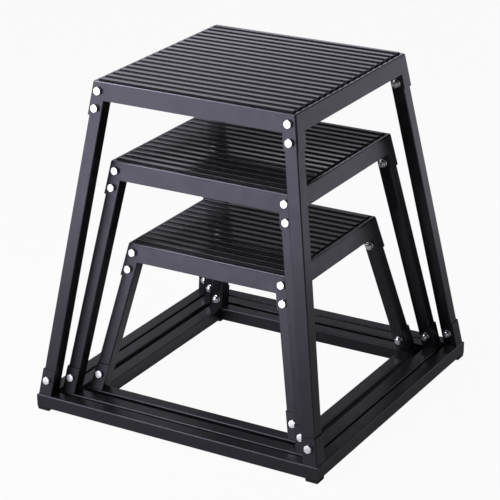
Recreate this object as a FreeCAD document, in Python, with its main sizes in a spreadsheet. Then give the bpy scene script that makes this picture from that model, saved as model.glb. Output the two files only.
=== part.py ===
"""A nested set of three steel plyo boxes, in millimetres.

The origin is the middle of the footprint on the floor, +Z is up and the front is -Y. Each box is a
square base frame of tube on four feet, four tube legs that lean in towards the top, a top frame that
carries a steel deck, and a ribbed rubber mat. Each leg is bolted into a short angle socket at both
ends, so a box comes apart into its two frames and its four legs.
"""
import FreeCAD, Part
import os
import Sketcher

SIZES = {
    "small_height": 304.8,
    "medium_height": 462,
    "large_height": 609.6,
    "large_top": 398,
    "medium_top_step": 17.5,
    "small_top_step": 18.5,
    "large_base": 579,
    "medium_nest_gap": 5,
    "small_nest_gap": 11,
    "foot_height": 5,
    "tube_side": 25,
    "tube_wall": 1.5,
    "tube_radius": 2,
    "plate_wall": 2.5,
    "rail_height": 32,
    "rail_lip": 20,
    "deck_thickness": 2.5,
    "deck_edge_radius": 2,
    "mat_inset": 6.8,
    "mat_thickness": 1,
    "rib_pitch": 20.85,
    "rib_width": 8.2,
    "rib_height": 2.5,
    "rib_chamfer": 0.6,
    "bend_radius": 3,
    "top_socket_length": 60,
    "base_socket_length": 48,
    "bolt_inset": 14.3,
    "upper_bolt_depth": 16.5,
    "lower_bolt_depth": 47,
    "base_bolt_rise": 29,
    "bolt_radius": 4,
    "bolt_hole_radius": 4.5,
    "nut_bore_radius": 4.1,
    "hex_across_flats": 13,
    "chamfer_angle": 30,
    "head_height": 5.3,
    "nut_height": 6.5,
    "bolt_end": 3,
}
SIDES = {"front": 0, "right": 90, "rear": 180, "left": 270}
CORNERS = {
    "front_left": (-1, -1),
    "front_right": (1, -1),
    "rear_left": (-1, 1),
    "rear_right": (1, 1),
}
RAIL_TOP = "(Sizes.foot_height + Sizes.tube_side)"
SOCKET_FLANGE = "(Sizes.plate_wall + Sizes.tube_side)"
EDGE_SHARE = 0.9
TINY = 0.01

doc = FreeCAD.newDocument("plyo_box_set")
sheet = doc.addObject("Spreadsheet::Sheet", "Sizes")
for row, (alias, value) in enumerate(SIZES.items(), start=1):
    sheet.set(f"A{row}", alias)
    sheet.set(f"B{row}", str(value))
    sheet.setAlias(f"B{row}", alias)
doc.recompute()
nodes = []


class Box:
    """The expressions for one box: its height, its half widths and the lean of its four sides."""

    def __init__(self, name, height, top_half, base_half):
        self.name = name
        self.height = height
        self.top_half = top_half
        self.base_half = base_half
        run = f"({base_half} - Sizes.tube_radius - {top_half})"
        self.lean = f"({run} / ({self.height} - {RAIL_TOP}))"
        self.tilt = f"(90 deg - atan({self.lean}))"
        self.bolt_grip = f"({SOCKET_FLANGE} * cos(atan({self.lean})))"
        self.mat_half = f"({self.top_half} - Sizes.mat_inset)"
        base_bolt = f"({self.height} - {RAIL_TOP} - Sizes.base_bolt_rise)"
        self.top_bolts = ["Sizes.upper_bolt_depth", "Sizes.lower_bolt_depth"]
        self.base_bolts = [base_bolt]

    def nested(self, name, height):
        """The next smaller box, with its base inside this one's and its top stepped in."""
        top_half = f"({self.top_half} - Sizes.{name}_top_step)"
        base_half = f"({self.base_half} - Sizes.tube_side - Sizes.{name}_nest_gap)"
        return Box(name, height, top_half, base_half)

    def half(self, depth):
        """Half the width across the leaning sides at a depth below the top."""
        return f"({self.top_half} + {self.lean} * ({depth}))"

    def label(self, piece):
        return f"{self.name}_{piece}"


def bind(item, **expressions):
    """Bind properties of an object to expressions on the sheet."""
    for prop, expression in expressions.items():
        item.setExpression(prop, expression)


def place(item, x="0", y="0", z="0", field="Placement"):
    """Bind the position of an object, or of a sketch on its plane."""
    for axis, expression in zip("xyz", (x, y, z)):
        item.setExpression(f"{field}.Base.{axis}", expression)


def turn(item, axis, angle, field="Placement"):
    """Bind the rotation of an object, or of a sketch on its plane, about one axis."""
    for name in "xyz":
        item.setExpression(f"{field}.Rotation.Axis.{name}", "1" if name == axis else "0")
    item.setExpression(f"{field}.Rotation.Angle", angle)


def new_body(label):
    body = doc.addObject("PartDesign::Body", label)
    body.Label = label
    return body


def new_sketch(body, role, piece):
    """A sketch on one of the body's own origin planes."""
    sketch = body.newObject("Sketcher::SketchObject", f"{body.Label}_{piece}")
    origin_plane = next(item for item in body.Origin.OriginFeatures if item.Role == role)
    sketch.AttachmentSupport = (origin_plane, [""])
    sketch.MapMode = "FlatFace"
    return sketch


def bound_constraint(sketch, expression, *constraint):
    index = sketch.addConstraint(Sketcher.Constraint(*constraint))
    sketch.setExpression(f"Constraints[{index}]", expression)


def draw_outline(sketch, corners):
    """A closed outline through corners whose two coordinates are expressions."""
    points = [FreeCAD.Vector(sketch.evalExpression(x), sketch.evalExpression(y), 0) for x, y in corners]
    count = len(points)
    first = sketch.GeometryCount
    for step, point in enumerate(points):
        sketch.addGeometry(Part.LineSegment(point, points[(step + 1) % count]), False)
    for step in range(count):
        following = first + (step + 1) % count
        sketch.addConstraint(Sketcher.Constraint("Coincident", first + step, 2, following, 1))
    for step, (x, y) in enumerate(corners):
        bound_constraint(sketch, x, "DistanceX", -1, 1, first + step, 1, points[step].x)
        bound_constraint(sketch, y, "DistanceY", -1, 1, first + step, 1, points[step].y)


def draw_rectangle(sketch, left, bottom, right, top):
    draw_outline(sketch, [(left, bottom), (right, bottom), (right, top), (left, top)])


def draw_circle(sketch, x, y, radius):
    centre = FreeCAD.Vector(sketch.evalExpression(x), sketch.evalExpression(y), 0)
    size = sketch.evalExpression(radius)
    index = sketch.addGeometry(Part.Circle(centre, FreeCAD.Vector(0, 0, 1), size), False)
    bound_constraint(sketch, x, "DistanceX", -1, 1, index, 3, centre.x)
    bound_constraint(sketch, y, "DistanceY", -1, 1, index, 3, centre.y)
    bound_constraint(sketch, radius, "Radius", index, size)


def extrude(kind, body, sketch, length, side="One side"):
    """A Pad or a Pocket of a sketch."""
    feature = body.newObject(f"PartDesign::{kind}", f"{sketch.Label}_{kind.lower()}")
    feature.Profile = sketch
    feature.SideType = side
    bind(feature, Length=length)
    doc.recompute()
    return feature


def round_edges(body, base, edges, radius):
    """Round the given edges of a feature."""
    names = [f"Edge{number}" for number, edge in enumerate(base.Shape.Edges, start=1)
             if any(edge.isSame(chosen) for chosen in edges)]
    fillet = body.newObject("PartDesign::Fillet", f"{base.Label}_rounded")
    fillet.Base = (base, names)
    bind(fillet, Radius=radius)
    doc.recompute()
    return fillet


def rising_edges(shape):
    return [edge for edge in shape.Edges if edge.BoundBox.ZLength > TINY]


def outer_edges(shape, edges):
    """The four edges along a square tube that lie furthest from its middle."""
    middle = shape.CenterOfMass
    return sorted(edges, key=lambda edge: edge.CenterOfGravity.distanceToPoint(middle))[-4:]


def group(label, members):
    """Equal loose pieces that share one node."""
    compound = doc.addObject("Part::Compound", label)
    compound.Label = label
    compound.Links = members
    return compound


def base_rail(box, side):
    """One side of the base frame: square tube with rounded edges, mitred at both ends."""
    body = new_body(box.label(f"base_rail_{side}"))
    turn(body, "z", f"{SIDES[side]} deg")
    place(body)
    section = new_sketch(body, "YZ_Plane", "section")
    outer = f"-{box.base_half}"
    inner = f"(Sizes.tube_side - {box.base_half})"
    draw_rectangle(section, outer, "Sizes.foot_height", inner, RAIL_TOP)
    wall = "Sizes.tube_wall"
    draw_rectangle(section, f"{outer} + {wall}", f"Sizes.foot_height + {wall}",
                   f"{inner} - {wall}", f"{RAIL_TOP} - {wall}")
    tube = extrude("Pad", body, section, f"2 * {box.base_half}", "Symmetric")
    along = [edge for edge in tube.Shape.Edges if edge.BoundBox.XLength > TINY]
    round_edges(body, tube, outer_edges(tube.Shape, along), "Sizes.tube_radius")
    mitre = new_sketch(body, "XY_Plane", "mitre")
    far = f"({box.base_half} + Sizes.tube_side)"
    near = f"({box.base_half} - 2 * Sizes.tube_side)"
    for end in (-1, 1):
        draw_outline(mitre, [(f"{end} * {far}", f"-{far}"),
                             (f"{end} * {far}", f"-{near}"),
                             (f"{end} * {near}", f"-{near}")])
    extrude("Pocket", body, mitre, f"4 * {RAIL_TOP}", "Symmetric")
    nodes.append(body)


def top_rail(box, side):
    """One side of the top frame: a leaning face with a lip under the deck, between two sockets."""
    body = new_body(box.label(f"top_rail_{side}"))
    turn(body, "z", f"{SIDES[side]} deg")
    place(body, z=box.height)
    section = new_sketch(body, "YZ_Plane", "section")
    upper = "Sizes.deck_thickness"
    lip_bottom = "(Sizes.deck_thickness + Sizes.plate_wall)"
    lower = "Sizes.rail_height"
    lip_end = f"Sizes.rail_lip - {box.half(upper)}"
    draw_outline(section, [(f"-{box.half(upper)}", f"-{upper}"),
                           (f"-{box.half(lower)}", f"-{lower}"),
                           (f"Sizes.plate_wall - {box.half(lower)}", f"-{lower}"),
                           (f"Sizes.plate_wall - {box.half(lip_bottom)}", f"-{lip_bottom}"),
                           (lip_end, f"-{lip_bottom}"),
                           (lip_end, f"-{upper}")])
    extrude("Pad", body, section, f"2 * {box.half(lower)}", "Symmetric")
    ends = new_sketch(body, "XZ_Plane", "ends")
    above = "-Sizes.rail_height"
    below = "2 * Sizes.rail_height"
    beyond = f"2 * {box.half(below)}"
    for end in (-1, 1):
        draw_outline(ends, [(f"{end} * ({box.half(above)} - {SOCKET_FLANGE})", "Sizes.rail_height"),
                            (f"{end} * ({box.half(below)} - {SOCKET_FLANGE})", f"-{below}"),
                            (f"{end} * {beyond}", f"-{below}"),
                            (f"{end} * {beyond}", "Sizes.rail_height")])
    extrude("Pocket", body, ends, f"4 * {box.half(lower)}", "Symmetric")
    nodes.append(body)


def leaning_body(box, label, corner, start, length, outlines):
    """A body whose level section at the height start is carried up along the lean of one corner.

    The outlines are drawn inwards from the two leaning sides of the box that meet at the corner.
    """
    side_x, side_y = CORNERS[corner]
    body = new_body(label)
    place(body, z=start)
    section = new_sketch(body, "XY_Plane", "section")
    half = box.half(f"{box.height} - {start}")
    for outline in outlines:
        draw_outline(section, [(f"{side_x} * ({half} - {x})", f"{side_y} * ({half} - {y})")
                               for x, y in outline])
    pad = extrude("Pad", body, section, length)
    pad.UseCustomVector = True
    pad.AlongSketchNormal = True
    bind(pad, Direction=f"vector({-side_x} * {box.lean}; {-side_y} * {box.lean}; 1)")
    doc.recompute()
    return body, pad


def drill(box, body, corner, start, bolts):
    """Bolt holes square to the front or rear side of the box, at depths below its top."""
    side_x, side_y = CORNERS[corner]
    holes = new_sketch(body, "XY_Plane", "holes")
    place(holes, y=f"{side_y} * {box.top_half}", z=f"{box.height} - {start}", field="AttachmentOffset")
    turn(holes, "x", f"{-side_y} * {box.tilt}", field="AttachmentOffset")
    for depth in bolts:
        draw_circle(holes, f"{side_x} * ({box.half(depth)} - Sizes.bolt_inset)",
                    f"{side_y} * {depth} / cos(atan({box.lean}))", "Sizes.bolt_hole_radius")
    extrude("Pocket", body, holes, f"4 * {SOCKET_FLANGE}", "Symmetric")


def leg(box, corner):
    """One leg: square tube from the base frame to the deck, inside the sockets at both ends."""
    length = f"{box.height} - Sizes.deck_thickness - {RAIL_TOP}"
    outside = square("Sizes.plate_wall", SOCKET_FLANGE)
    inside = square("(Sizes.plate_wall + Sizes.tube_wall)", f"({SOCKET_FLANGE} - Sizes.tube_wall)")
    body, tube = leaning_body(box, box.label(f"leg_{corner}"), corner, RAIL_TOP, length, [outside, inside])
    corners = outer_edges(tube.Shape, rising_edges(tube.Shape))
    round_edges(body, tube, corners, "Sizes.tube_radius")
    drill(box, body, corner, RAIL_TOP, box.top_bolts + box.base_bolts)
    nodes.append(body)


def square(near, far):
    """The corners of a square that lies between two distances from both sides."""
    return [(near, near), (far, near), (far, far), (near, far)]


def sockets(box, piece, start, length, bolts):
    """Four short angles, one at each corner of a frame, that the legs fit inside."""
    wall = "Sizes.plate_wall"
    angle = [("0", "0"), (SOCKET_FLANGE, "0"), (SOCKET_FLANGE, wall),
             (wall, wall), (wall, SOCKET_FLANGE), ("0", SOCKET_FLANGE)]
    members = []
    for corner, sides in CORNERS.items():
        body, pad = leaning_body(box, box.label(f"{piece}_{corner}"), corner, start, length, [angle])
        outwards = FreeCAD.Vector(*sides, 0)
        bend = max(rising_edges(pad.Shape), key=lambda edge: outwards * edge.CenterOfGravity)
        round_edges(body, pad, [bend], "Sizes.bend_radius")
        drill(box, body, corner, start, bolts)
        members.append(body)
    nodes.append(group(box.label(f"{piece}s"), members))


def deck_panel(box):
    """The steel sheet over the top frame, with rounded corners and a rounded upper edge.

    The upper edge takes no more than a share of the thickness of the sheet and of its corners.
    """
    body = new_body(box.label("deck_panel"))
    place(body, z=f"{box.height} - Sizes.deck_thickness")
    outline = new_sketch(body, "XY_Plane", "outline")
    draw_rectangle(outline, f"-{box.top_half}", f"-{box.top_half}", box.top_half, box.top_half)
    sheet_pad = extrude("Pad", body, outline, "Sizes.deck_thickness")
    rounded = round_edges(body, sheet_pad, rising_edges(sheet_pad.Shape), "Sizes.bend_radius")
    level = rounded.Shape.BoundBox.ZMax - TINY
    rim = [edge for edge in rounded.Shape.Edges if edge.BoundBox.ZMin > level]
    limits = f"{EDGE_SHARE} * Sizes.deck_thickness; {EDGE_SHARE} * Sizes.bend_radius"
    round_edges(body, rounded, rim, f"min(Sizes.deck_edge_radius; {limits})")
    nodes.append(body)


def tread_mat(box):
    """The rubber mat on the deck, with flat-topped ribs that run from left to right."""
    body = new_body(box.label("tread_mat"))
    place(body, z=box.height)
    outline = new_sketch(body, "XY_Plane", "outline")
    draw_rectangle(outline, f"-{box.mat_half}", f"-{box.mat_half}", box.mat_half, box.mat_half)
    extrude("Pad", body, outline, "Sizes.mat_thickness")
    ribs_each_way = f"floor(({box.mat_half} - Sizes.rib_width / 2) / Sizes.rib_pitch)"
    first_rib = f"(-{ribs_each_way} * Sizes.rib_pitch)"
    shoulder = "(Sizes.mat_thickness + Sizes.rib_height - Sizes.rib_chamfer)"
    crest = "(Sizes.mat_thickness + Sizes.rib_height)"
    half_width = "Sizes.rib_width / 2"
    half_crest = "(Sizes.rib_width / 2 - Sizes.rib_chamfer)"
    section = new_sketch(body, "YZ_Plane", "rib")
    draw_outline(section, [(f"{first_rib} - {half_width}", "Sizes.mat_thickness"),
                           (f"{first_rib} + {half_width}", "Sizes.mat_thickness"),
                           (f"{first_rib} + {half_width}", shoulder),
                           (f"{first_rib} + {half_crest}", crest),
                           (f"{first_rib} - {half_crest}", crest),
                           (f"{first_rib} - {half_width}", shoulder)])
    rib = extrude("Pad", body, section, f"2 * {box.mat_half}", "Symmetric")
    pattern = body.newObject("PartDesign::LinearPattern", f"{body.Label}_ribs")
    pattern.Originals = [rib]
    pattern.Direction = (next(item for item in body.Origin.OriginFeatures if item.Role == "Y_Axis"), [""])
    pattern.Mode = "Spacing"
    bind(pattern, Offset="Sizes.rib_pitch", Occurrences=f"2 * {ribs_each_way} + 1")
    body.Tip = pattern
    nodes.append(body)


def feet(box):
    """Four square rubber pads under the corners of the base frame."""
    members = []
    for corner, (side_x, side_y) in CORNERS.items():
        pad = doc.addObject("Part::Box", box.label(f"foot_{corner}"))
        bind(pad, Length="Sizes.tube_side", Width="Sizes.tube_side", Height="Sizes.foot_height")
        middle = f"({box.base_half} - Sizes.tube_side / 2)"
        place(pad, x=f"{side_x} * {middle} - Sizes.tube_side / 2",
              y=f"{side_y} * {middle} - Sizes.tube_side / 2")
        members.append(pad)
    nodes.append(group(box.label("feet"), members))


def hexagon(label, height, bottom, chamfer_end):
    """A hexagon that stands on the level bottom of its own axis, with its corners eased at one end."""
    prism = doc.addObject("Part::Prism", f"{label}_prism")
    prism.Polygon = 6
    bind(prism, Circumradius="Sizes.hex_across_flats / sqrt(3)", Height=height)
    cone = doc.addObject("Part::Cone", f"{label}_cone")
    narrow = "Sizes.hex_across_flats / 2"
    wide = f"({narrow} + {height} / tan(Sizes.chamfer_angle * 1 deg))"
    radii = (wide, narrow) if chamfer_end == "upper" else (narrow, wide)
    bind(cone, Radius1=radii[0], Radius2=radii[1], Height=height)
    for item in (prism, cone):
        place(item, z=bottom)
    solid = doc.addObject("Part::Common", label)
    solid.Base = prism
    solid.Tool = cone
    return solid


def rod(label, radius, height, bottom):
    """A cylinder that stands on the level bottom of its own axis."""
    cylinder = doc.addObject("Part::Cylinder", label)
    bind(cylinder, Radius=radius, Height=height)
    place(cylinder, z=bottom)
    return cylinder


def seat(box, item, corner, depth):
    """Set a bolt or a nut square to the leaning face of its socket, at a depth below the top."""
    side_x, side_y = CORNERS[corner]
    place(item, x=f"{side_x} * ({box.half(depth)} - Sizes.bolt_inset)", y=f"{side_y} * {box.half(depth)}",
          z=f"{box.height} - {depth}")
    turn(item, "x", f"{-side_y} * {box.tilt}")


def fasteners(box):
    """A hexagon bolt through each hole from outside, and a nut on it against the inside of the leg."""
    bolts = []
    nuts = []
    shank = f"({box.bolt_grip} + Sizes.nut_height + Sizes.bolt_end)"
    nut_bottom = f"(-{box.bolt_grip} - Sizes.nut_height)"
    for corner in CORNERS:
        for number, depth in enumerate(box.top_bolts + box.base_bolts, start=1):
            spot = f"{corner}_{number}"
            bolt = doc.addObject("Part::Fuse", box.label(f"bolt_{spot}"))
            bolt.Base = hexagon(box.label(f"bolt_head_{spot}"), "Sizes.head_height", "0", "upper")
            bolt.Tool = rod(box.label(f"bolt_shank_{spot}"), "Sizes.bolt_radius", shank, f"-{shank}")
            seat(box, bolt, corner, depth)
            bolts.append(bolt)
            nut = doc.addObject("Part::Cut", box.label(f"nut_{spot}"))
            nut.Base = hexagon(box.label(f"nut_blank_{spot}"), "Sizes.nut_height", nut_bottom, "lower")
            nut.Tool = rod(box.label(f"nut_bore_{spot}"), "Sizes.nut_bore_radius",
                           "Sizes.nut_height", nut_bottom)
            seat(box, nut, corner, depth)
            nuts.append(nut)
    nodes.append(group(box.label("leg_bolts"), bolts))
    nodes.append(group(box.label("leg_nuts"), nuts))


def check_document():
    """Stop before anything is written if a feature failed or a cut took nothing away."""
    for item in doc.Objects:
        if "Invalid" in item.State or "Error" in item.State:
            raise RuntimeError(f"{item.Label} failed")
        if item.TypeId == "PartDesign::Pocket" and item.Shape.Volume > item.BaseFeature.Shape.Volume - 1:
            raise RuntimeError(f"{item.Label} cuts nothing")
    for node in nodes:
        if node.Shape.isNull() or not node.Shape.isValid() or not node.Shape.Solids:
            raise RuntimeError(f"{node.Label} has no valid shape")


large = Box("large", "Sizes.large_height", "(Sizes.large_top / 2)", "(Sizes.large_base / 2)")
medium = large.nested("medium", "Sizes.medium_height")
small = medium.nested("small", "Sizes.small_height")
for box in (small, medium, large):
    for side in SIDES:
        base_rail(box, side)
        top_rail(box, side)
    feet(box)
    sockets(box, "base_leg_socket", RAIL_TOP, "Sizes.base_socket_length", box.base_bolts)
    sockets(box, "top_leg_socket", f"({box.height} - Sizes.top_socket_length)",
            "Sizes.top_socket_length - Sizes.deck_thickness", box.top_bolts)
    for corner in CORNERS:
        leg(box, corner)
    deck_panel(box)
    tread_mat(box)
    fasteners(box)

doc.recompute()
check_document()
os.makedirs("parts", exist_ok=True)
for node in nodes:
    node.Shape.exportStep(f"parts/{node.Label}.step")
    print(node.Label, len(node.Shape.Solids), round(node.Shape.Volume, 1))
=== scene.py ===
import math

import bpy
from mathutils import Matrix, Vector


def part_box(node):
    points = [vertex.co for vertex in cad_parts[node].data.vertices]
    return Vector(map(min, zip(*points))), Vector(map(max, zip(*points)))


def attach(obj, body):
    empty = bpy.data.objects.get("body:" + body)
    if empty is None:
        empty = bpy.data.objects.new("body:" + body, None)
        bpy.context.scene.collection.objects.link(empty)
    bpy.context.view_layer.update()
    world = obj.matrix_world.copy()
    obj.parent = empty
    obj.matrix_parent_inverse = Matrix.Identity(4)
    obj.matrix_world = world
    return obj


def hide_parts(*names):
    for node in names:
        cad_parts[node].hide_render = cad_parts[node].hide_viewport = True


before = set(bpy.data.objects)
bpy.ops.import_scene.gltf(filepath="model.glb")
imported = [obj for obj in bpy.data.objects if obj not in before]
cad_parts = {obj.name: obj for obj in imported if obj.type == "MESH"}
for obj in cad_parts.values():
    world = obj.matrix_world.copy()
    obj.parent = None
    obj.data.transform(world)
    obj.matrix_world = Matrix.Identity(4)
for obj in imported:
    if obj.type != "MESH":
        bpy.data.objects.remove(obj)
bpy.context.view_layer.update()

bpy.context.scene.view_settings.view_transform = "Standard"

# Base rails: square steel tube with rounded edges, mitred and welded into one square frame for each of
# the three boxes. The frame is powder coated in one go, so it has one satin black skin with the fine
# pebble that baked powder leaves, a little cloudier and duller in places.
BOXES = ("small", "medium", "large")
SIDES = ("front", "right", "rear", "left")
BLACK_DEEP = (0.005, 0.005, 0.0056, 1)
BLACK_LIFTED = (0.0085, 0.0085, 0.0095, 1)
FRAME_SMOOTH = 0.27
FRAME_DULL = 0.37
COAT_SPECULAR = 0.52
COAT_TINT = (0.89, 0.875, 1.0, 1)
PEBBLES_PER_METRE = 700.0
PEBBLE_RANGE = (0.35, 0.75)
PEBBLE_SPECKLE = 0.12
PEBBLE_DEPTH = 0.00005
PEBBLE_STRENGTH = 0.35
CLOUDS_PER_METRE = 12.0
HAZE_FINENESS = 3.5
RELIEF_SHARE = 0.8
NOISE_RANGE = (0.3, 0.7)


def add(tree, kind, inputs, **settings):
    """A shader node whose inputs are set to values or joined to other nodes' outputs."""
    made = tree.nodes.new(kind)
    for name, value in settings.items():
        setattr(made, name, value)
    for name, value in inputs.items():
        if isinstance(value, bpy.types.NodeSocket):
            tree.links.new(value, made.inputs[name])
        else:
            made.inputs[name].default_value = value
    return made


def new_group(name, inputs, outputs):
    """An empty node group with number inputs and outputs, its two end nodes and its Object coordinates."""
    group = bpy.data.node_groups.new(name, "ShaderNodeTree")
    for label, value in inputs.items():
        socket = group.interface.new_socket(label, in_out="INPUT", socket_type="NodeSocketFloat")
        socket.default_value = value
    for label in outputs:
        group.interface.new_socket(label, in_out="OUTPUT", socket_type="NodeSocketFloat")
    place = add(group, "ShaderNodeTexCoord", {}).outputs["Object"]
    return group, group.nodes.new("NodeGroupInput"), group.nodes.new("NodeGroupOutput"), place


def new_finish(name):
    """A new material, its node tree and its main shader."""
    finish = bpy.data.materials.new(name)
    finish.use_nodes = True
    return finish, finish.node_tree, finish.node_tree.nodes["Principled BSDF"]


def noise(tree, place, scale, detail, raggedness):
    """Soft noise, with scale in lumps to the metre."""
    inputs = {"Vector": place, "Scale": scale, "Detail": detail, "Roughness": raggedness}
    return add(tree, "ShaderNodeTexNoise", inputs).outputs["Fac"]


def spread(tree, value, to_low, to_high, within=NOISE_RANGE):
    """A value carried from one range to another and held at its ends."""
    low, high = within
    inputs = {"Value": value, "From Min": low, "From Max": high, "To Min": to_low, "To Max": to_high}
    return add(tree, "ShaderNodeMapRange", inputs).outputs["Result"]


def between(tree, share, low, high):
    """A colour between two shades."""
    return add(tree, "ShaderNodeMix", {"Factor": share, 6: low, 7: high}, data_type="RGBA").outputs[2]


def surface(tree, shader, colour, roughness, height, depth, strength):
    """Join a finish's colour, roughness and relief to its shader."""
    bump = add(tree, "ShaderNodeBump", {"Strength": strength, "Distance": depth, "Height": height})
    tree.links.new(colour, shader.inputs["Base Color"])
    tree.links.new(roughness, shader.inputs["Roughness"])
    tree.links.new(bump.outputs["Normal"], shader.inputs["Normal"])


baked_powder, powder_in, powder_out, powder_place = new_group(
    "baked_powder", {"Pebbles": PEBBLES_PER_METRE, "Clouds": CLOUDS_PER_METRE}, ("Height", "Shade", "Haze"))
pebbles = noise(baked_powder, powder_place, powder_in.outputs["Pebbles"], detail=2.0, raggedness=0.4)
clouds = noise(baked_powder, powder_place, powder_in.outputs["Clouds"], detail=4.0, raggedness=0.6)
speckle = spread(baked_powder, pebbles, -PEBBLE_SPECKLE, PEBBLE_SPECKLE, within=PEBBLE_RANGE)
cloud_shade = spread(baked_powder, clouds, 0.0, 1.0)
shade = add(baked_powder, "ShaderNodeMath", {0: cloud_shade, 1: speckle}, operation="ADD", use_clamp=True)
haze_scale = add(baked_powder, "ShaderNodeMath", {0: powder_in.outputs["Clouds"], 1: HAZE_FINENESS},
                 operation="MULTIPLY")
haze = noise(baked_powder, powder_place, haze_scale.outputs[0], detail=5.0, raggedness=0.65)
baked_powder.links.new(pebbles, powder_out.inputs["Height"])
baked_powder.links.new(shade.outputs[0], powder_out.inputs["Shade"])
baked_powder.links.new(haze, powder_out.inputs["Haze"])


def powder_coat(name, deep, lifted, smooth, dull, specular=COAT_SPECULAR, relief=None):
    """Powder coat between two shades and two roughnesses, over the relief of the steel if it has any."""
    finish, tree, shader = new_finish(name)
    powder = add(tree, "ShaderNodeGroup", {}, node_tree=baked_powder)
    colour = between(tree, powder.outputs["Shade"], deep, lifted)
    roughness = spread(tree, powder.outputs["Haze"], smooth, dull)
    height = powder.outputs["Height"]
    if relief:
        height = add(tree, "ShaderNodeMath", {0: relief(tree), 1: RELIEF_SHARE, 2: height},
                     operation="MULTIPLY_ADD").outputs[0]
    surface(tree, shader, colour, roughness, height, PEBBLE_DEPTH, PEBBLE_STRENGTH)
    shader.inputs["Specular IOR Level"].default_value = specular
    shader.inputs["Specular Tint"].default_value = COAT_TINT
    return finish


def dress(finish, *names):
    """Put a finish on CAD nodes that keep their own shape."""
    for name in names:
        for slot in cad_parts[name].material_slots:
            slot.material = finish


frame_finish = powder_coat("satin_black_powder_coat", BLACK_DEEP, BLACK_LIFTED, FRAME_SMOOTH, FRAME_DULL)
for box in BOXES:
    dress(frame_finish, *(f"{box}_base_rail_{side}" for side in SIDES))

# Feet: a square rubber pad under each corner of a base frame, so that the steel stays off the floor.
# Each pad is moulded with eased edges and a little draft, and has a dull, fine grain.
FOOT_SIDE = 0.025
FOOT_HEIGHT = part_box("large_feet")[1].z
FOOT_CORNER_ROUNDING = 0.0022
FOOT_EDGE_ROUNDING = 0.0007
FOOT_DRAFT = 0.96
FOOT_SMOOTH_ANGLE = math.radians(40)
FOOT_LOW = (0.006, 0.006, 0.0065, 1)
FOOT_HIGH = (0.012, 0.012, 0.013, 1)
FOOT_SMOOTH = 0.7
FOOT_DULL = 0.9
FOOT_GRAIN_PER_METRE = 900.0
FOOT_PATCHES_PER_METRE = 75.0
FOOT_GRAIN_DEPTH = 0.00012
FOOT_GRAIN_STRENGTH = 0.5
CORNERS = ((-1, -1), (1, -1), (-1, 1), (1, 1))


def reach(box, piece):
    """How far a piece of a box reaches from the middle to each side."""
    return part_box(f"{box}_{piece}")[1].x


def top_of(box, piece):
    """The height of the top of a piece of a box."""
    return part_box(f"{box}_{piece}")[1].z


def put_away():
    """Nothing selected before the next piece is begun."""
    if bpy.context.object and bpy.context.object.mode == "EDIT":
        bpy.ops.object.mode_set(mode="OBJECT")
    bpy.ops.object.select_all(action="DESELECT")


def apply_place():
    """Move a piece's place, turn and scale into its mesh."""
    bpy.ops.object.transform_apply(location=True, rotation=True, scale=True)


def pick(kind, test):
    """Select the vertices, edges or faces of the active piece whose corners pass a test."""
    bpy.ops.mesh.select_mode(type={"vertices": "VERT", "edges": "EDGE", "polygons": "FACE"}[kind])
    bpy.ops.mesh.select_all(action="DESELECT")
    bpy.ops.object.mode_set(mode="OBJECT")
    mesh = bpy.context.object.data
    for item in getattr(mesh, kind):
        if kind == "vertices":
            spots = [item.co]
        else:
            spots = [mesh.vertices[index].co for index in item.vertices]
        item.select = test(spots)
    bpy.ops.object.mode_set(mode="EDIT")


def join_pieces(name, members):
    """Make one piece of several, named and with its place in its mesh."""
    put_away()
    for member in members:
        member.select_set(True)
    bpy.context.view_layer.objects.active = members[0]
    bpy.ops.object.join()
    apply_place()
    piece = bpy.context.object
    piece.name = name
    piece.data.name = name
    return piece


def set_in(name, pattern, seats, smooth_angle):
    """Copies of a pattern in all its places, as one piece."""
    copies = []
    for seat in seats:
        copy = pattern.copy()
        copy.data = pattern.data.copy()
        copy.matrix_world = seat
        bpy.context.collection.objects.link(copy)
        copies.append(copy)
    piece = join_pieces(name, copies)
    bpy.ops.object.shade_smooth_by_angle(angle=smooth_angle)
    return piece


def new_pad():
    """One foot on the floor at the origin."""
    put_away()
    bpy.ops.mesh.primitive_cube_add(size=1, location=(0, 0, FOOT_HEIGHT / 2))
    bpy.context.object.scale = (FOOT_SIDE, FOOT_SIDE, FOOT_HEIGHT)
    apply_place()
    bpy.ops.object.mode_set(mode="EDIT")
    pick("edges", lambda spots: abs(spots[0].z - spots[1].z) > FOOT_HEIGHT / 2)
    bpy.ops.mesh.bevel(offset=FOOT_CORNER_ROUNDING, segments=4, affect="EDGES")
    pick("vertices", lambda spots: spots[0].z < FOOT_HEIGHT / 2)
    bpy.ops.transform.resize(value=(FOOT_DRAFT, FOOT_DRAFT, 1), center_override=(0, 0, 0))
    pick("edges", lambda spots: max(spot.z for spot in spots) < FOOT_HEIGHT / 4)
    bpy.ops.mesh.bevel(offset=FOOT_EDGE_ROUNDING, segments=3, affect="EDGES")
    put_away()
    return bpy.context.object


moulded_rubber, rubber_in, rubber_out, rubber_place = new_group(
    "moulded_rubber", {"Grain": FOOT_GRAIN_PER_METRE, "Patches": FOOT_PATCHES_PER_METRE},
    ("Height", "Shade"))
grain = noise(moulded_rubber, rubber_place, rubber_in.outputs["Grain"], detail=3.0, raggedness=0.6)
patches = noise(moulded_rubber, rubber_place, rubber_in.outputs["Patches"], detail=4.0, raggedness=0.6)
moulded_rubber.links.new(grain, rubber_out.inputs["Height"])
moulded_rubber.links.new(patches, rubber_out.inputs["Shade"])

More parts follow.
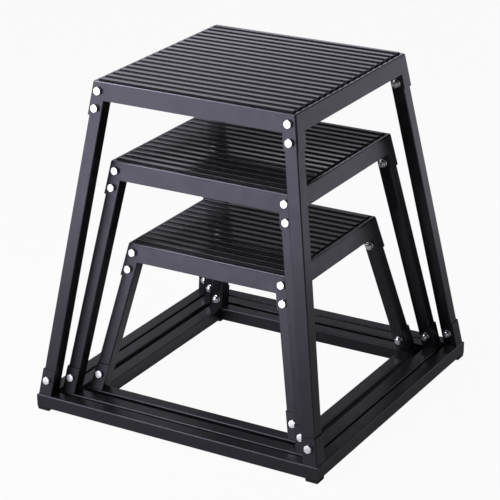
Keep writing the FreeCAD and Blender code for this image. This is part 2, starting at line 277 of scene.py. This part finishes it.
foot_finish, foot_tree, foot_shader = new_finish("foot_rubber_grain")
foot_rubber = add(foot_tree, "ShaderNodeGroup", {}, node_tree=moulded_rubber)
foot_colour = between(foot_tree, foot_rubber.outputs["Shade"], FOOT_LOW, FOOT_HIGH)
foot_roughness = spread(foot_tree, foot_rubber.outputs["Height"], FOOT_SMOOTH, FOOT_DULL)
surface(foot_tree, foot_shader, foot_colour, foot_roughness, foot_rubber.outputs["Height"],
        FOOT_GRAIN_DEPTH, FOOT_GRAIN_STRENGTH)

pad = new_pad()
for box in BOXES:
    pad_out = reach(box, "feet") - FOOT_SIDE / 2
    pad_seats = [Matrix.Translation((side_x * pad_out, side_y * pad_out, 0)) for side_x, side_y in CORNERS]
    feet = set_in(f"{box}_rubber_feet", pad, pad_seats, FOOT_SMOOTH_ANGLE)
    feet.data.materials.append(foot_finish)
    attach(feet, f"{box}_box")
    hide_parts(f"{box}_feet")
bpy.data.objects.remove(pad)

# Leg sockets: short steel angles welded to the corners of the base frame and of the top frame. They are
# coated with their frames, and the legs slide inside them.
for box in BOXES:
    dress(frame_finish, f"{box}_base_leg_sockets", f"{box}_top_leg_sockets")

# Legs: square steel tube that leans in from the base frame to the top frame. Each leg is coated by
# itself, and faint drawing lines from the tube mill still show along it under the powder.
LEG_DEEP = (0.0052, 0.0052, 0.0058, 1)
LEG_LIFTED = (0.009, 0.009, 0.01, 1)
LEG_SMOOTH = 0.26
LEG_DULL = 0.36
LEGS = ("front_left", "front_right", "rear_left", "rear_right")
TUBE_ROUNDING = 0.002
DRAWN_LINES_PER_METRE = 1400.0
DRAWN_LINE_STRETCH = 0.01


def lean_of(box):
    """Run over rise of a box's leaning sides."""
    rise = top_of(box, "deck_panel") - top_of(box, "base_rail_front")
    return (reach(box, "feet") - TUBE_ROUNDING - reach(box, "deck_panel")) / rise


drawn_tube, tube_in, tube_out, tube_place = new_group(
    "drawn_tube", {"Lean": 0.0, "Lines": DRAWN_LINES_PER_METRE}, ("Relief",))
tube_axes = add(drawn_tube, "ShaderNodeSeparateXYZ", {"Vector": tube_place})
tube_height = tube_axes.outputs["Z"]
along_tube = add(drawn_tube, "ShaderNodeCombineXYZ", {})
for axis in ("X", "Y"):
    out = add(drawn_tube, "ShaderNodeMath", {0: tube_axes.outputs[axis]}, operation="ABSOLUTE")
    upright = add(drawn_tube, "ShaderNodeMath", {0: tube_height, 1: tube_in.outputs["Lean"],
                                                 2: out.outputs[0]}, operation="MULTIPLY_ADD")
    drawn_tube.links.new(upright.outputs[0], along_tube.inputs[axis])
stretched = add(drawn_tube, "ShaderNodeMath", {0: tube_height, 1: DRAWN_LINE_STRETCH}, operation="MULTIPLY")
drawn_tube.links.new(stretched.outputs[0], along_tube.inputs["Z"])
drawn_lines = noise(drawn_tube, along_tube.outputs[0], tube_in.outputs["Lines"], detail=3.0, raggedness=0.6)
drawn_tube.links.new(drawn_lines, tube_out.inputs["Relief"])

for box in BOXES:
    def tube_relief(tree):
        """The drawing lines of this box's legs, which lean by its own slope."""
        lines = add(tree, "ShaderNodeGroup", {"Lean": lean_of(box)}, node_tree=drawn_tube)
        return lines.outputs["Relief"]

    leg_finish = powder_coat(f"{box}_satin_black_leg_coat", LEG_DEEP, LEG_LIFTED, LEG_SMOOTH, LEG_DULL,
                             relief=tube_relief)
    dress(leg_finish, *(f"{box}_leg_{corner}" for corner in LEGS))

# Top rails: sheet steel folded to a leaning face and a lip that carries the deck, welded between the
# top sockets and coated with them.
for box in BOXES:
    dress(frame_finish, *(f"{box}_top_rail_{side}" for side in SIDES))

# Deck panels: steel sheet welded on the top frame, whose edge shows as a narrow rim round the mat. Its coat
# lies smoother on the flat sheet than on the tubes, and is painted lighter than the frame's black, as a
# painted highlight along that rim.
# These deck shades are about three and a half times lighter than the frame's black: painted highlight for
# the bright rim round the mat.
DECK_HIGHLIGHT_DEEP = (0.018, 0.018, 0.0198, 1)
DECK_HIGHLIGHT_LIFTED = (0.03, 0.03, 0.033, 1)
DECK_SMOOTH = 0.12
DECK_DULL = 0.18
DECK_SPECULAR = 0.8
deck_highlight_finish = powder_coat("satin_black_deck_coat_painted_highlight", DECK_HIGHLIGHT_DEEP, DECK_HIGHLIGHT_LIFTED, DECK_SMOOTH, DECK_DULL,
                          specular=DECK_SPECULAR)
for box in BOXES:
    dress(deck_highlight_finish, f"{box}_deck_panel")

# Tread mats: moulded rubber sheet glued to the deck, with rounded ribs from left to right for grip. The
# flat tops of the ribs are polished by the mould and the valleys are dull. The upright sides of the ribs
# and the flat border round them are painted near black, as painted shade for the shadowed rib fronts and
# the shadow in the gap round the mat.
SHEET_THICKNESS = 0.001
RIB_PITCH = 0.02085
RIB_WIDTH = 0.0082
RIB_ROUNDING = 0.0007
BORDER = 0.0016
MAT_SMOOTH_ANGLE = math.radians(35)
MERGE_WITHIN = 0.00001
SHEEN_LOW = (0.016, 0.0155, 0.018, 1)
SHEEN_HIGH = (0.026, 0.025, 0.029, 1)
DULL_LOW = (0.030, 0.0295, 0.0325, 1)
DULL_HIGH = (0.046, 0.045, 0.0495, 1)
# The darkest pair of shades below is painted shade: it darkens the upright rib sides and the border strip,
# for the shadow on the rib fronts and in the gap round the mat.
PAINTED_SHADE_LOW = (0.008, 0.008, 0.0086, 1)
PAINTED_SHADE_HIGH = (0.016, 0.016, 0.0172, 1)
TREAD_GRAIN_PER_METRE = 1100.0
TREAD_PATCHES_PER_METRE = 22.0
TREAD_GRAIN_STRENGTH = 0.4


def tread_rubber(name, low, high, smooth, dull, grain_depth, gloss):
    """Black moulded rubber, blotched where feet have rubbed it, with a fine grain."""
    finish, tree, shader = new_finish(name)
    scales = {"Grain": TREAD_GRAIN_PER_METRE, "Patches": TREAD_PATCHES_PER_METRE}
    rubber = add(tree, "ShaderNodeGroup", scales, node_tree=moulded_rubber)
    rubbed = rubber.outputs["Shade"]
    colour = between(tree, rubbed, low, high)
    roughness = spread(tree, rubbed, dull, smooth)
    surface(tree, shader, colour, roughness, rubber.outputs["Height"], grain_depth, TREAD_GRAIN_STRENGTH)
    shader.inputs["Specular IOR Level"].default_value = gloss
    return finish


sheen_finish = tread_rubber("sheen_tread_rubber", SHEEN_LOW, SHEEN_HIGH,
                            smooth=0.075, dull=0.115, grain_depth=0.00002, gloss=0.5)
dull_finish = tread_rubber("dull_tread_rubber", DULL_LOW, DULL_HIGH,
                           smooth=0.50, dull=0.64, grain_depth=0.00008, gloss=0.3)
painted_shade_finish = tread_rubber("painted_shade_tread_rubber", PAINTED_SHADE_LOW, PAINTED_SHADE_HIGH,
                          smooth=0.66, dull=0.78, grain_depth=0.00010, gloss=0.15)

for box in BOXES:
    put_away()
    half = reach(box, "tread_mat")
    valley_level = top_of(box, "deck_panel") + SHEET_THICKNESS
    rib_height = top_of(box, "tread_mat") - valley_level
    crest_start = valley_level + rib_height - 1.2 * RIB_ROUNDING
    border_start = half - 0.9 * BORDER
    ribs_each_way = math.floor((half - RIB_WIDTH / 2) / RIB_PITCH)
    rib_middles = [step * RIB_PITCH for step in range(-ribs_each_way, ribs_each_way + 1)]
    bpy.ops.mesh.primitive_plane_add(size=2 * half, location=(0, 0, valley_level))
    apply_place()
    mat = bpy.context.object
    for finish in (sheen_finish, dull_finish, painted_shade_finish):
        mat.data.materials.append(finish)
    bpy.ops.object.mode_set(mode="EDIT")
    for middle in rib_middles:
        for edge in (-RIB_WIDTH / 2, RIB_WIDTH / 2):
            bpy.ops.mesh.select_all(action="SELECT")
            bpy.ops.mesh.bisect(plane_co=(0, middle + edge, valley_level), plane_no=(0, 1, 0))
    for rib_end in (BORDER - half, half - BORDER):
        bpy.ops.mesh.select_all(action="SELECT")
        bpy.ops.mesh.bisect(plane_co=(rib_end, 0, valley_level), plane_no=(1, 0, 0))

    def on_border(spots):
        """Outside the ends of the ribs."""
        return abs(sum(spot.x for spot in spots) / len(spots)) > border_start

    def on_rib(spots):
        """Between the two edges of a rib."""
        along = sum(spot.y for spot in spots) / len(spots)
        return not on_border(spots) and any(abs(along - middle) < RIB_WIDTH / 4 for middle in rib_middles)

    def on_crest(spots):
        """On the top of a rib, with its rounded edges."""
        return min(spot.z for spot in spots) > crest_start

    def in_valley(spots):
        """Anywhere but on the top of a rib."""
        return not on_crest(spots)

    def takes_painted_shade(spots):
        """Upright, or on the border strip round the ribs: the faces painted near black as painted shade."""
        levels = [spot.z for spot in spots]
        return on_border(spots) or max(levels) - min(levels) > RIB_ROUNDING

    pick("polygons", on_rib)
    bpy.ops.mesh.extrude_region_move(TRANSFORM_OT_translate={"value": (0, 0, rib_height)})
    pick("edges", on_crest)
    bpy.ops.mesh.bevel(offset=RIB_ROUNDING, segments=3, affect="EDGES")
    bpy.ops.mesh.select_all(action="DESELECT")
    bpy.ops.mesh.select_mode(type="EDGE")
    bpy.ops.mesh.select_non_manifold(extend=False, use_wire=False, use_multi_face=False,
                                     use_non_contiguous=False, use_verts=False)
    bpy.ops.mesh.extrude_region_move(TRANSFORM_OT_translate={"value": (0, 0, -SHEET_THICKNESS)})
    bpy.ops.mesh.edge_face_add()
    bpy.ops.mesh.select_all(action="SELECT")
    bpy.ops.mesh.remove_doubles(threshold=MERGE_WITHIN)
    bpy.ops.mesh.normals_make_consistent(inside=False)
    # The valleys get the dull rubber, then the upright sides and the border strip get the near-black rubber
    # as painted shade.
    for finish, test in ((dull_finish, in_valley), (painted_shade_finish, takes_painted_shade)):
        pick("polygons", test)
        mat.active_material_index = mat.data.materials.find(finish.name)
        bpy.ops.object.material_slot_assign()
    put_away()
    mat.select_set(True)
    bpy.ops.object.shade_smooth_by_angle(angle=MAT_SMOOTH_ANGLE)
    flat_tops = mat.modifiers.new("flat_tops", "WEIGHTED_NORMAL")
    flat_tops.keep_sharp = True
    bpy.ops.object.modifier_apply(modifier=flat_tops.name)
    mat.name = f"{box}_ribbed_mat"
    mat.data.name = mat.name
    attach(mat, f"{box}_box")
    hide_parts(f"{box}_tread_mat")

# Leg bolts: zinc plated hexagon bolts through the sockets and right across the legs, two at the top of
# each leg and one at its foot. The head has a chamfered top, and the far end shows its thread.
BOLT_INSET = 0.0143
BOLT_DEPTHS = (0.0165, 0.047)
BASE_BOLT_HEIGHT = 0.059
SOCKET_FLANGE = 0.0275
HEX_ACROSS_FLATS = 0.013
HEAD_HEIGHT = 0.0053
HEAD_EDGE_ROUNDING = 0.00022
NUT_HEIGHT = 0.0065
BOLT_RADIUS = 0.004
BOLT_END = 0.003
BOLT_SIDES = 32
THREAD_PITCH = 0.00125
THREAD_ROOT = 0.86
CHAMFER_SLOPE = math.tan(math.radians(30))
CHAMFER_SIDES = 64
CHAMFER_OVERLAP = 1.002
EASED_ABOVE = math.radians(25)
FASTENER_SMOOTH_ANGLE = math.radians(30)
ZINC_LOW = (0.76, 0.77, 0.78, 1)
ZINC_HIGH = (0.90, 0.90, 0.91, 1)
ZINC_BLOTCHES_PER_METRE = 260.0
ZINC_MARKS_PER_METRE = 2400.0
ZINC_MARK_DEPTH = 0.00003
ZINC_MARK_STRENGTH = 0.25


def make_active(piece):
    """Only this piece selected, for the operators that follow."""
    put_away()
    bpy.context.view_layer.objects.active = piece
    piece.select_set(True)


def cut_with(piece, tool, operation):
    """Shape a piece with another one, which is used up."""
    make_active(piece)
    cut = piece.modifiers.new("cut", "BOOLEAN")
    cut.operation = operation
    cut.object = tool
    bpy.ops.object.modifier_apply(modifier=cut.name)
    bpy.data.objects.remove(tool)


def new_rod(sides, radius, length, middle):
    """A round or many-sided rod along Z."""
    put_away()
    bpy.ops.mesh.primitive_cylinder_add(vertices=sides, radius=radius, depth=length,
                                        location=(0, 0, middle))
    apply_place()
    return bpy.context.object


def new_cone(sides, low, high, length, middle):
    """A cone along Z with a radius at each end."""
    put_away()
    bpy.ops.mesh.primitive_cone_add(vertices=sides, radius1=low, radius2=high, depth=length,
                                    location=(0, 0, middle))
    apply_place()
    return bpy.context.object


def hexagon(height, bottom, narrow_end, narrow):
    """A hexagon blank turned to a cone at one end, down to a narrow radius."""
    middle = bottom + height / 2
    blank = new_rod(6, HEX_ACROSS_FLATS / math.sqrt(3), height, middle)
    wide = narrow + height / CHAMFER_SLOPE
    low, high = (wide, narrow) if narrow_end == "upper" else (narrow, wide)
    cut_with(blank, new_cone(CHAMFER_SIDES, low, high, height * CHAMFER_OVERLAP, middle), "INTERSECT")
    return blank


def ease_edges(piece, width):
    """A small rounding on the sharp edges of a piece, so that they catch the light."""
    make_active(piece)
    rounding = piece.modifiers.new("rounding", "BEVEL")
    rounding.width = width
    rounding.segments = 2
    rounding.limit_method = "ANGLE"
    rounding.angle_limit = EASED_ABOVE
    rounding.use_clamp_overlap = True
    bpy.ops.object.modifier_apply(modifier=rounding.name)


def new_bolt(shank):
    """One bolt along Z, with the underside of its head at the origin."""
    head = hexagon(HEAD_HEIGHT, 0, "upper", HEX_ACROSS_FLATS / 2)
    ease_edges(head, HEAD_EDGE_ROUNDING)
    rod = new_rod(BOLT_SIDES, BOLT_RADIUS, shank, -shank / 2)
    bpy.ops.object.mode_set(mode="EDIT")
    turns = math.floor((NUT_HEIGHT + BOLT_END) / THREAD_PITCH)
    levels = [-shank + THREAD_PITCH * (0.5 + step / 2) for step in range(2 * turns)]
    for level in levels:
        bpy.ops.mesh.select_all(action="SELECT")
        bpy.ops.mesh.bisect(plane_co=(0, 0, level), plane_no=(0, 0, 1))
    roots = levels[1::2] + [-shank]
    pick("vertices", lambda spots: any(abs(spots[0].z - root) < THREAD_PITCH / 8 for root in roots))
    bpy.ops.transform.resize(value=(THREAD_ROOT, THREAD_ROOT, 1), center_override=(0, 0, 0))
    return join_pieces("bolt", [head, rod])


def seats_of(box):
    """The twelve places of a box's bolts, square to its front and rear sides."""
    lean = lean_of(box)
    tilt = math.pi / 2 - math.atan(lean)
    deck_top = top_of(box, "deck_panel")
    for side_x, side_y in CORNERS:
        for depth in (*BOLT_DEPTHS, deck_top - BASE_BOLT_HEIGHT):
            out = reach(box, "deck_panel") + lean * depth
            spot = Vector((side_x * (out - BOLT_INSET), side_y * out, deck_top - depth))
            yield Matrix.Translation(spot) @ Matrix.Rotation(-side_y * tilt, 4, "X")


def grip_of(box):
    """The thickness that a box's bolts clamp, from under the head to the nut."""
    return SOCKET_FLANGE * math.cos(math.atan(lean_of(box)))


plated_zinc, zinc_in, zinc_out, zinc_place = new_group(
    "plated_zinc", {"Blotches": ZINC_BLOTCHES_PER_METRE, "Marks": ZINC_MARKS_PER_METRE},
    ("Height", "Shade"))
blotches = noise(plated_zinc, zinc_place, zinc_in.outputs["Blotches"], detail=4.0, raggedness=0.6)
marks = noise(plated_zinc, zinc_place, zinc_in.outputs["Marks"], detail=2.0, raggedness=0.5)
plated_zinc.links.new(marks, zinc_out.inputs["Height"])
plated_zinc.links.new(blotches, zinc_out.inputs["Shade"])


def zinc_plate(name, smooth, dull):
    """Blotched zinc between two roughnesses, with faint marks of the tool under it."""
    finish, tree, shader = new_finish(name)
    zinc = add(tree, "ShaderNodeGroup", {}, node_tree=plated_zinc)
    colour = between(tree, zinc.outputs["Shade"], ZINC_LOW, ZINC_HIGH)
    roughness = spread(tree, zinc.outputs["Shade"], smooth, dull)
    surface(tree, shader, colour, roughness, zinc.outputs["Height"], ZINC_MARK_DEPTH, ZINC_MARK_STRENGTH)
    shader.inputs["Metallic"].default_value = 1.0
    return finish


bolt_finish = zinc_plate("satin_zinc_plate", smooth=0.30, dull=0.42)
for box in BOXES:
    bolt = new_bolt(grip_of(box) + NUT_HEIGHT + BOLT_END)
    bolts = set_in(f"{box}_hexagon_bolts", bolt, seats_of(box), FASTENER_SMOOTH_ANGLE)
    bpy.data.objects.remove(bolt)
    bolts.data.materials.append(bolt_finish)
    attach(bolts, f"{box}_box")
    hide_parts(f"{box}_leg_bolts")

# Leg nuts: hexagon nuts on the bolt ends, in brighter zinc than the bolts. Each has a round flange,
# forged with it, that seats on the inner face of the leg.
FLANGE_ACROSS = 0.0162
FLANGE_HEIGHT = 0.0019
FLANGE_ROUNDING = 0.0014
NUT_FACE_RADIUS = 0.0056
NUT_EDGE_ROUNDING = 0.0002
NUT_SIDES = 48
BORE_CLEARANCE = 0.0001
BORE_OVERRUN = 1.2
MOUTH_DEPTH = 0.0012
MOUTH_RISE = 0.0004


def new_nut(bottom):
    """One nut along Z, chamfered on its outer face and at the mouth of its bore, with a flange."""
    nut = hexagon(NUT_HEIGHT, bottom, "lower", NUT_FACE_RADIUS)
    flange_middle = bottom + NUT_HEIGHT - FLANGE_HEIGHT / 2
    flange = new_rod(NUT_SIDES, FLANGE_ACROSS / 2, FLANGE_HEIGHT, flange_middle)
    bpy.ops.object.mode_set(mode="EDIT")
    pick("edges", lambda spots: max(spot.z for spot in spots) < flange_middle)
    bpy.ops.mesh.bevel(offset=FLANGE_ROUNDING, segments=4, affect="EDGES")
    cut_with(nut, flange, "UNION")
    bore = new_rod(NUT_SIDES, BOLT_RADIUS + BORE_CLEARANCE, NUT_HEIGHT * BORE_OVERRUN,
                   bottom + NUT_HEIGHT / 2)
    cut_with(nut, bore, "DIFFERENCE")
    mouth = new_cone(NUT_SIDES, BOLT_RADIUS + MOUTH_DEPTH, BOLT_RADIUS - MOUTH_DEPTH, 2 * MOUTH_DEPTH,
                     bottom + MOUTH_DEPTH - MOUTH_RISE)
    cut_with(nut, mouth, "DIFFERENCE")
    ease_edges(nut, NUT_EDGE_ROUNDING)
    return nut


nut_finish = zinc_plate("bright_zinc_plate", smooth=0.10, dull=0.16)
for box in BOXES:
    nut = new_nut(-grip_of(box) - NUT_HEIGHT)
    nuts = set_in(f"{box}_hexagon_nuts", nut, seats_of(box), FASTENER_SMOOTH_ANGLE)
    bpy.data.objects.remove(nut)
    nuts.data.materials.append(nut_finish)
    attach(nuts, f"{box}_box")
    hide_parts(f"{box}_leg_nuts")

# Studio floor and backdrop: a pale floor that runs off to white, in soft light. They are no part of the
# object. The camera and clear surfaces see them as white with the shadow kept, and glossy ones as a share
# of that white, because the black coat mirrors a dim room.
FLOOR_SIZE = 24
FLOOR_DROP = 0.0005
FLOOR_PALE = (0.5, 0.5, 0.5, 1)
FLOOR_ROUGHNESS = 0.9
WHITE = (1, 1, 1, 1)
WHITE_SHARE = 0.95
FLOOR_GLOSSY_SHARE = 0.16
BACKDROP_GLOSSY_SHARE = 0.03
BACKDROP_WHITE = (0.953, 0.953, 0.953, 1)
FILL_COLOUR = (0.96, 0.95, 1.0, 1)
FILL_STRENGTH = 0.06


def seen_directly(tree, glossy_share):
    """1 on rays from the camera and through clear surfaces, a share on glossy ones and 0 on the rest."""
    path = add(tree, "ShaderNodeLightPath", {})
    clear = add(tree, "ShaderNodeMath", {0: path.outputs["Is Camera Ray"],
                                         1: path.outputs["Is Transmission Ray"]}, operation="MAXIMUM")
    seen = add(tree, "ShaderNodeMath", {0: path.outputs["Is Glossy Ray"], 1: glossy_share,
                                        2: clear.outputs[0]}, operation="MULTIPLY_ADD", use_clamp=True)
    return seen.outputs[0]


put_away()
bpy.ops.mesh.primitive_plane_add(size=FLOOR_SIZE, location=(0, 0, -FLOOR_DROP))
studio_floor = bpy.context.object
studio_floor.name = "studio_floor"
floor_finish, floor_tree, floor_shader = new_finish("pale_floor")
floor_shader.inputs["Base Color"].default_value = FLOOR_PALE
floor_shader.inputs["Roughness"].default_value = FLOOR_ROUGHNESS
floor_shader.inputs["Specular IOR Level"].default_value = 0.0
floor_white = add(floor_tree, "ShaderNodeEmission", {"Color": WHITE, "Strength": 1.0})
floor_seen = seen_directly(floor_tree, FLOOR_GLOSSY_SHARE)
floor_share = add(floor_tree, "ShaderNodeMath", {0: floor_seen, 1: WHITE_SHARE}, operation="MULTIPLY")
floor_mix = add(floor_tree, "ShaderNodeMixShader", {0: floor_share.outputs[0], 1: floor_shader.outputs[0],
                                                    2: floor_white.outputs[0]})
floor_end = floor_tree.nodes["Material Output"]
floor_tree.links.new(floor_mix.outputs[0], floor_end.inputs["Surface"])
studio_floor.data.materials.append(floor_finish)

studio = bpy.data.worlds.new("studio")
bpy.context.scene.world = studio
studio.use_nodes = True
studio_tree = studio.node_tree
studio_tree.nodes.clear()
fill = add(studio_tree, "ShaderNodeBackground", {"Color": FILL_COLOUR, "Strength": FILL_STRENGTH})
backdrop = add(studio_tree, "ShaderNodeBackground", {"Color": BACKDROP_WHITE, "Strength": 1.0})
backdrop_seen = seen_directly(studio_tree, BACKDROP_GLOSSY_SHARE)
sky = add(studio_tree, "ShaderNodeMixShader", {0: backdrop_seen, 1: fill.outputs[0],
                                               2: backdrop.outputs[0]})
add(studio_tree, "ShaderNodeOutputWorld", {"Surface": sky.outputs[0]})

# Studio lamps: soft boxes at the front left, low at the right rear, at the rear left over two dim panels
# that the mats and base rails mirror, and at the upper left, and two dim panels that lift the right and
# rear sides. Each has a place, a spot that it faces, a width and height, and its watts.
LAMP_WHITE = (0.975, 0.955, 1.09)
LAMPS = {
    "front_left_soft_box": ((-1.1, -1.8, 0.91), (0.7, -0.5, 0.6), (2.0, 1.75), 38),
    "right_rear_soft_box": ((0.76, 1.06, 0.38), (0, 0, 0.38), (1.1, 0.74), 2.05),
    "rear_left_soft_box": ((-0.42, 0.72, 0.89), (0, 0, 0.89), (0.8, 0.23), 0.58),
    "rear_left_low_panel": ((-0.62, 1.06, 0.49), (0, 0, 0.49), (1.1, 0.26), 0.28),
    "rear_left_middle_panel": ((-0.58, 1.085, 0.81), (0, 0, 0.81), (0.62, 0.27), 0.15),
    "upper_left_soft_box": ((-0.85, -0.55, 1.6), (0, 0, 0.5), (0.7, 0.7), 16),
    "right_front_panel": ((1.75, -1.05, 0.5), (0, 0, 0.35), (1.2, 1.0), 1.9),
    "left_rear_panel": ((-1.75, 1.15, 0.5), (0, 0, 0.35), (1.2, 1.0), 1.4),
}
for name, (spot, target, size, power) in LAMPS.items():
    put_away()
    bpy.ops.object.light_add(type="AREA", location=spot)
    lamp = bpy.context.object
    lamp.name = name
    lamp.data.shape = "RECTANGLE"
    lamp.data.size, lamp.data.size_y = size
    lamp.data.energy = power
    lamp.data.color = LAMP_WHITE
    lamp.visible_camera = False
    lamp.rotation_euler = (Vector(target) - Vector(spot)).to_track_quat("-Z", "Y").to_euler()

# Camera: a long lens from the front right, above the deck, as in the photograph. It is turned a little
# about its own axis.
CAMERA_AZIMUTH = math.radians(30.89)
CAMERA_ELEVATION = math.radians(22.16)
CAMERA_ROLL = math.radians(-0.77)
CAMERA_DISTANCE = 3.555
CAMERA_TARGET = Vector((-0.0066, -0.0047, 0.2645))
CAMERA_LENS = 141.4
CAMERA_SENSOR = 36
put_away()
bpy.ops.object.camera_add()
camera = bpy.context.object
camera.name = "photo_camera"
camera.data.lens = CAMERA_LENS
camera.data.sensor_width = CAMERA_SENSOR
back = Vector((math.sin(CAMERA_AZIMUTH) * math.cos(CAMERA_ELEVATION),
               -math.cos(CAMERA_AZIMUTH) * math.cos(CAMERA_ELEVATION),
               math.sin(CAMERA_ELEVATION)))
level_right = Vector((math.cos(CAMERA_AZIMUTH), math.sin(CAMERA_AZIMUTH), 0))
level_up = back.cross(level_right)
right = math.cos(CAMERA_ROLL) * level_right + math.sin(CAMERA_ROLL) * level_up
up = math.cos(CAMERA_ROLL) * level_up - math.sin(CAMERA_ROLL) * level_right
turned = Matrix((right, up, back)).transposed().to_4x4()
camera.matrix_world = Matrix.Translation(CAMERA_TARGET + CAMERA_DISTANCE * back) @ turned
bpy.context.scene.camera = camera
